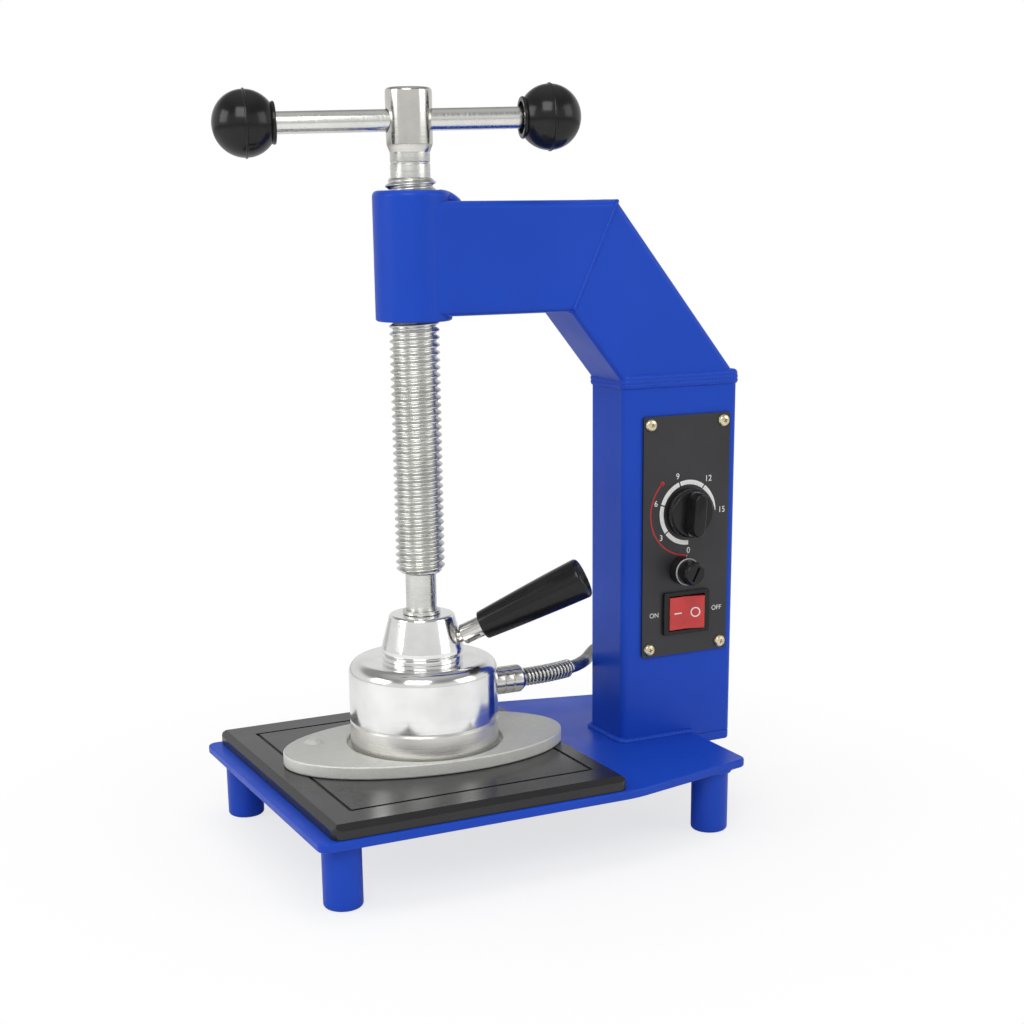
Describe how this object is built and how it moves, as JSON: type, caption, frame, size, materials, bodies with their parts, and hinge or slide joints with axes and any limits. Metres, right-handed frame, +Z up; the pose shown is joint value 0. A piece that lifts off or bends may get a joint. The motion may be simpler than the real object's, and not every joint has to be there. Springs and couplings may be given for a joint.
{
  "type": "tyre patch vulcanizing press",
  "caption": "Screw press on a four-footed base plate, with a heated round head over an oval platen, an arched tube frame and a column with timer, fuse and rocker switch.",
  "frame": {"origin": "middle of the overall box at the level of the feet's undersides", "axes": "+X from the pad towards the column, +Y away from the control panel, +Z up along the screw"},
  "size_m": [0.2958, 0.196, 0.4114],
  "materials": {
    "blue_paint": "gloss powder coat",
    "black_pad": "polished",
    "cast_aluminium": "sand cast, matte",
    "polished_cap": "mirror",
    "brushed_aluminium": "turned",
    "zinc_steel": "zinc plated",
    "nickel": "nickel plated",
    "black_plastic": "moulded phenolic",
    "black_rubber": "matte",
    "panel_black": "satin",
    "screw_brass": "yellow zinc",
    "timer_white": "moulded",
    "rocker_red": "translucent red",
    "fuse_glass": "clear",
    "insulation": "pressed fibre",
    "thrust_bronze": "turned"
  },
  "bodies": {
    "frame": {"base_plate": "blue_paint", "foot_front_left": "blue_paint", "foot_front_right": "blue_paint", "foot_rear_left": "blue_paint", "foot_rear_right": "blue_paint", "working_pad": "black_pad", "column": "blue_paint", "column_foot_cap": "blue_paint", "slanted_tube": "blue_paint", "arm": "blue_paint", "threaded_boss": "blue_paint", "weld_beads": "blue_paint", "conduit_gland": "nickel", "mains_grommet": "black_rubber", "control_panel": "panel_black", "panel_screws": "screw_brass", "timer_case": "timer_white", "fuse_holder": "black_plastic", "switch_case": "black_plastic"},
    "platen": {"platen": "cast_aluminium"},
    "head": {"heater_cap": "polished_cap", "heater_base": "brushed_aluminium", "heating_element": "zinc_steel", "insulating_board": "insulation", "thermostat": "nickel", "socket_collar": "polished_cap", "thrust_pad": "thrust_bronze", "swivel_socket": "polished_cap", "handle_stub": "nickel", "handle_grip": "black_plastic", "conduit_ferrule": "nickel", "spring_guard": "zinc_steel", "conduit_hose": "zinc_steel"},
    "press_screw": {"screw": "zinc_steel", "mouth_ring": "zinc_steel", "retaining_ring": "zinc_steel", "screw_hub": "nickel"},
    "handle_bar": {"tommy_bar": "zinc_steel", "knob_left": "black_plastic", "knob_right": "black_plastic"},
    "timer_dial": {"timer_shaft": "zinc_steel", "timer_knob": "black_plastic"},
    "fuse_link": {"fuse": "fuse_glass"},
    "fuse_carrier_cap": {"fuse_cap": "black_plastic"},
    "rocker": {"switch_rocker": "rocker_red"}
  },
  "joints": [
    {"name": "head_travel", "type": "slide", "parent": "frame", "child": "head", "axis": [0, 0, 1], "range_m": [0, 0.09], "deforming": ["conduit_hose"]},
    {"name": "screw_turn", "type": "hinge", "parent": "head", "child": "press_screw", "pos_m": [-0.0479, 0, 0.15], "axis": [0, 0, 1], "range_deg": [0, 8100]},
    {"name": "bar_slide", "type": "slide", "parent": "press_screw", "child": "handle_bar", "axis": [0.9701, -0.2419, 0.0209], "range_m": [-0.046, 0.056]},
    {"name": "platen_turn", "type": "hinge", "parent": "frame", "child": "platen", "pos_m": [-0.0479, 0, 0.053], "axis": [0, 0, 1], "continuous": true},
    {"name": "timer_dial_turn", "type": "hinge", "parent": "frame", "child": "timer_dial", "pos_m": [0.1125, -0.02, 0.1761], "axis": [0, 1, 0], "range_deg": [-43, 272]},
    {"name": "fuse_pull", "type": "slide", "parent": "frame", "child": "fuse_link", "axis": [0, -1, 0], "range_m": [0, 0.03]},
    {"name": "fuse_cap_turn", "type": "hinge", "parent": "fuse_link", "child": "fuse_carrier_cap", "pos_m": [0.1089, -0.03, 0.1424], "axis": [0, -1, 0], "range_deg": [0, 90]},
    {"name": "rocker_tilt", "type": "hinge", "parent": "frame", "child": "rocker", "pos_m": [0.1118, -0.0175, 0.1169], "axis": [0, 0, 1], "range_deg": [0, 12]}
  ],
  "couplings": [
    {"joint": "screw_turn", "follows": "head_travel", "rad_per_m": 1570.8}
  ]
}
